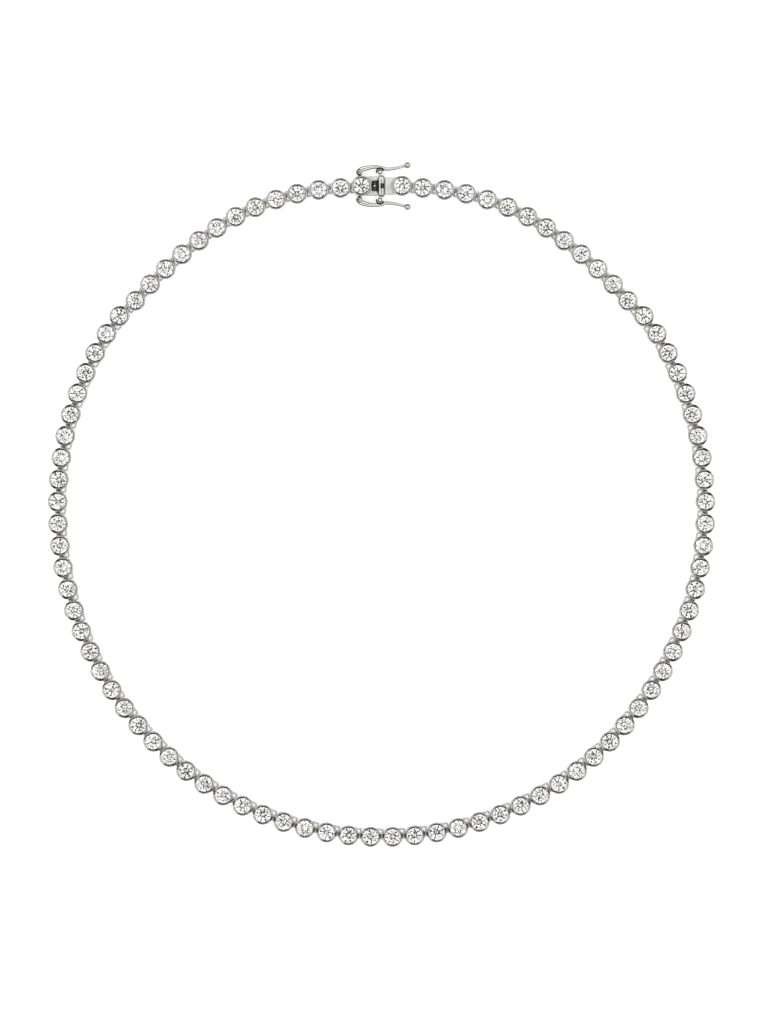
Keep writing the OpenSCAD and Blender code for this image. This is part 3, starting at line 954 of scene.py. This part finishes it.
tip_face = max(catches["catch_outer"].faces, key=lambda face: face.calc_center_median().x)
print("metal at the tip of a catch", finish_of_catch(tip_face).name)

# %% [markdown]
# The clasp in place
#
# Each half replaces its own solid, and each catch rides on its own body, so it turns with its hinge. A mesh
# could be given all the metals of the clasp, but each piece gets only those that it shows, and each face
# holds the number of its own.

# %% Place the clasp
at_clasp = Matrix.Translation((0, CLASP_Y, 0))
for name, shape, finish_of, body, node in (
    ("box_half", box, finish_of_box, "necklace", "clasp_box"),
    ("tongue_half", tongue, finish_of_tongue, "necklace", "clasp_tongue"),
    ("catch_outer_bar", catches["catch_outer"], finish_of_catch, "outer_catch", "catch_outer"),
    ("catch_inner_bar", catches["catch_inner"], finish_of_catch, "inner_catch", "catch_inner"),
):
    finishes = [finish_of(face) for face in shape.faces]
    shown = list(dict.fromkeys(finishes))
    for face, finish in zip(shape.faces, finishes):
        face.material_index = shown.index(finish)
    piece = as_piece(moved(shape, at_clasp), name, body, "white_gold", *shown)
    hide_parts(node)

# %% [markdown]
# Cutting a brilliant
#
# A lapidary makes a round brilliant by holding a round blank against a flat wheel, once for each facet. We
# do the same: a cylinder is cut by one plane after another, and each cut is filled. The planes go through
# three points, which come from the proportions of the cut: table, star tips, girdle, lower half tips and
# culet. This gives the real scalloped girdle and facets that are truly flat, which a subdivided mesh can't.
# Small stones are sorted by size, not by proportions, so there are five cuts that differ by a degree or so.
# No small stone is cut true either: each facet slips by up to two thirds of a degree, and that is what
# breaks the reflections into the specks of a real diamond, where a perfect stone would show the same dark
# star in every collet. We cut two stones of each kind. A cut has its pavilion and crown in degrees, and
# its table and the tips of its lower halves in stone radii.

# %% Facets by planes
EIGHTH = pi / 4
SLIP = 0.012
BLANK_H = 4
CUTS = [
    (41.0, 34.0, 0.57, 0.22), (40.4, 34.5, 0.58, 0.25), (41.5, 33.5, 0.57, 0.20), (40.7, 35.0, 0.59, 0.27),
    (42.0, 33.0, 0.58, 0.24),
]


def on_stone(radius, turn, height):
    """A point by radius, angle in eighths of a turn and height over the lower edge of the girdle."""
    return Vector((radius * cos(turn * EIGHTH), radius * sin(turn * EIGHTH), height))


def cut_facet(bm, a, b, c, slip=SLIP):
    """Cuts the stone along the plane through three points, tilted by a small slip, and fills the cut."""
    normal = (b - a).cross(c - a).normalized()
    if normal.dot(a - Vector((0, 0, GIRDLE_T / 2))) < 0:
        normal.negate()
    normal = (normal + Vector([random.uniform(-slip, slip) for _ in range(3)])).normalized()
    bmesh.ops.bisect_plane(
        bm, geom=everything(bm), plane_co=a, plane_no=normal, dist=SAME_SPOT, clear_outer=True,
    )
    bmesh.ops.holes_fill(bm, edges=[e for e in bm.edges if e.is_boundary], sides=0)


def brilliant(pavilion, crown, table, lower_tip):
    """One round brilliant, with the lower edge of its girdle at z = 0."""
    fall, rise = tan(radians(pavilion)), tan(radians(crown))
    table_r, lower_r = table * STONE_R, lower_tip * STONE_R
    star_r = (table_r + STONE_R) / 2
    bm = bmesh.new()
    bmesh.ops.create_cone(
        bm, cap_ends=True, segments=AROUND, radius1=STONE_R, radius2=STONE_R, depth=BLANK_H,
    )
    top = GIRDLE_T + (STONE_R - table_r) * rise
    culet = Vector((0, 0, -STONE_R * fall))
    star_z = GIRDLE_T + (STONE_R - star_r * cos(EIGHTH / 2)) * rise
    lower_z = -(STONE_R - lower_r * cos(EIGHTH / 2)) * fall
    for i in range(8):
        star = on_stone(star_r, i + 0.5, star_z)
        before = on_stone(star_r, i - 0.5, star_z)
        cut_facet(bm, on_stone(STONE_R, i, GIRDLE_T), star, before)
        lower = on_stone(lower_r, i + 0.5, lower_z)
        cut_facet(bm, on_stone(STONE_R, i, 0), lower, culet)
    for i in range(8):
        for half in (0, 0.5):
            edge = (i + half, i + half + 0.5)
            star = on_stone(star_r, i + 0.5, star_z)
            lower = on_stone(lower_r, i + 0.5, lower_z)
            cut_facet(bm, star, on_stone(STONE_R, edge[0], GIRDLE_T), on_stone(STONE_R, edge[1], GIRDLE_T))
            cut_facet(bm, lower, on_stone(STONE_R, edge[0], 0), on_stone(STONE_R, edge[1], 0))
    for i in range(8):
        star = on_stone(star_r, i + 0.5, star_z)
        cut_facet(bm, on_stone(table_r, i, top), on_stone(table_r, i + 1, top), star)
    cut_facet(bm, *(on_stone(table_r, i, top) for i in (0, 2, 4)), slip=0)
    return tidied(bm)


random.seed(17)
loose_stones = [brilliant(*cut) for cut in CUTS for _ in range(2)]
for stone in loose_stones:
    heights = [v.co.z for v in stone.verts]
    print("facets and girdle faces", len(stone.faces), "height", round(max(heights) - min(heights), 3))

# %% [markdown]
# Diamond
#
# Diamond bends light more than any other clear stone, so almost all that enters the crown turns round
# inside and leaves it again. That has to be ray traced: a glass with the true refractive index of 2.417
# does it, and painted facets would never change with the view. Real stones of a line differ by a hair in
# colour, so each one carries its own tint as an attribute.

# %% Diamond material
def diamond(name):
    """Clear diamond with a faint tint for each stone."""
    material = bpy.data.materials.new(name)
    material.use_nodes = True
    nodes, links = material.node_tree.nodes, material.node_tree.links
    shader = nodes["Principled BSDF"]
    shader.inputs["IOR"].default_value = 2.417
    shader.inputs["Transmission Weight"].default_value = 1.0
    shader.inputs["Roughness"].default_value = 0.0
    tint = nodes.new("ShaderNodeAttribute")
    tint.attribute_name = "tint"
    colours = ramp(nodes, links, tint.outputs["Fac"], (0.0, (0.98, 1.0, 0.99)), (0.5, (1.0, 1.0, 1.0)),
                   (1.0, (1.0, 0.985, 0.99)))
    links.new(colours, shader.inputs["Base Color"])
    return material


diamond_material = diamond("diamond")

# %% [markdown]
# Set the stones
#
# A setter drops each stone into its collet as it comes, so no two point the same way. A seeded random turn
# gives each one its own flash pattern, and a lean of up to three degrees is what a quick hand leaves. A
# leaning stone sits a hair deeper, so that no table rises over the others.

# %% Place the stones
LEAN = 3.3
SINK = 0.6
random.seed(92)
stones = bmesh.new()
tint_layer = stones.verts.layers.float.new("tint")
for seat in seats:
    first = len(stones.verts)
    turn = Matrix.Rotation(random.uniform(0, 2 * pi), 4, "Z")
    lean = radians(random.uniform(0, LEAN))
    towards = Matrix.Rotation(random.uniform(0, 2 * pi), 4, "Z")
    sunk = Matrix.Translation((0, 0, -STONE_R * SINK * sin(lean)))
    tint = random.random()
    leaning = seat @ sunk @ towards @ Matrix.Rotation(lean, 4, "X") @ turn
    add_copy(stones, random.choice(loose_stones), leaning)
    stones.verts.ensure_lookup_table()
    for vert in stones.verts[first:]:
        vert[tint_layer] = tint
for stone in loose_stones:
    stone.free()
brilliants = as_piece(stones, "brilliants", "necklace", "diamond", diamond_material, crisp=0)
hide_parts("stones")

# %% [markdown]
# Floor and light
#
# The photograph is a packshot from straight above on pure white. The floor is a plain white sheet that is
# bright enough to burn out, with only a breath of shadow under the metal. The light is a pale tent: bright
# high up, dark low down, darker at its front and back than at its sides, and with a dark hole straight
# above where the camera looks in. Polished metal and diamonds show nothing but that room, so its dark parts
# draw all their lines. Its cloth is uneven too, because a tent of one brightness would fill every stone
# with the same white star.

# %% Room
FOLD_SIZE = 300
CORNER = -0.4
FLOOR_HALF = 4


def studio_world(sides, ends, cloth, strength, tint):
    """A tent of light. Its sides east and west and its ends north and south are ramps over height."""
    world = bpy.data.worlds.new("tent")
    scene.world = world
    world.use_nodes = True
    nodes, links = world.node_tree.nodes, world.node_tree.links
    direction = nodes.new("ShaderNodeTexCoord").outputs["Generated"]
    parts = nodes.new("ShaderNodeSeparateXYZ")
    links.new(direction, parts.inputs["Vector"])
    turn = computed(nodes, links, "ARCTAN2", parts.outputs["Y"], parts.outputs["X"])
    wave = computed(nodes, links, "COSINE", computed(nodes, links, "ADD", turn, turn))
    at_side = between(nodes, links, wave, CORNER, 0.0, 0.0, 1.0)
    height = parts.outputs["Z"]
    end_light, side_light = (ramp(nodes, links, height, *stops) for stops in (ends, sides))
    tent = blended(nodes, links, at_side, end_light, side_light)
    folds = ramp(nodes, links, noise(nodes, links, direction, FOLD_SIZE, detail=2.0), *cloth)
    tent = blended(nodes, links, 1.0, tent, folds, "MULTIPLY")
    tent = blended(nodes, links, 1.0, tent, (*tint, 1), "MULTIPLY")
    background = nodes["Background"]
    links.new(tent, background.inputs["Color"])
    background.inputs["Strength"].default_value = strength
    return world


HOLE = [(0.945, 1.0), (0.955, 0.02), (1.0, 0.02)]
studio_world(
    sides=[(0.0, 0.18), (0.45, 0.24), (0.57, 1.0)] + HOLE,
    ends=[(0.0, 0.02), (0.5, 0.04), (0.62, 0.45), (0.72, 0.5), (0.8, 1.0)] + HOLE,
    cloth=[(0.42, 0.6), (0.55, 1.0)],
    strength=1.85,
    tint=(1.0, 1.0, 0.975),
)

floor_mesh = bpy.data.meshes.new("floor")
floor_bm = bmesh.new()
bmesh.ops.create_grid(floor_bm, x_segments=1, y_segments=1, size=FLOOR_HALF)
floor_bm.to_mesh(floor_mesh)
floor_bm.free()
floor = bpy.data.objects.new("floor", floor_mesh)
scene.collection.objects.link(floor)
white_sheet = bpy.data.materials.new("white_sheet")
white_sheet.use_nodes = True
paper = white_sheet.node_tree.nodes["Principled BSDF"]
paper.inputs["Base Color"].default_value = (0.92, 0.92, 0.92, 1)
paper.inputs["Roughness"].default_value = 0.9
paper.inputs["Emission Color"].default_value = (1, 1, 1, 1)
paper.inputs["Emission Strength"].default_value = 0.6
floor_mesh.materials.append(white_sheet)
scene.view_settings.view_transform = "Standard"

# %% [markdown]
# Camera
#
# The camera stands straight above with a long lens, as for any flat jewel that must not look wider at its
# edges. The photograph gives its frame: a pixel is 0.212 millimetres, and the middle of the frame is 2.4
# pixels right of the line's middle and 2 above it.

# %% Camera over the necklace
PIXEL = 0.212 * MM
FRAME_H = 1024
LENS = 200.0
SENSOR = 36.0
RIGHT_PIXELS = 2.4
UP_PIXELS = 2
LINE_Y = -2.075
centre = Vector((RIGHT_PIXELS * PIXEL, UP_PIXELS * PIXEL + LINE_Y * MM, COLLET_H * MM))
distance = FRAME_H * PIXEL / SENSOR * LENS
lens = bpy.data.cameras.new("overhead")
lens.lens = LENS
lens.sensor_width = SENSOR
lens.clip_end = 20
camera = bpy.data.objects.new("overhead", lens)
camera.location = centre + Vector((0, 0, distance))
scene.collection.objects.link(camera)
scene.camera = camera
print("camera", round(distance, 3), "m above the rims")
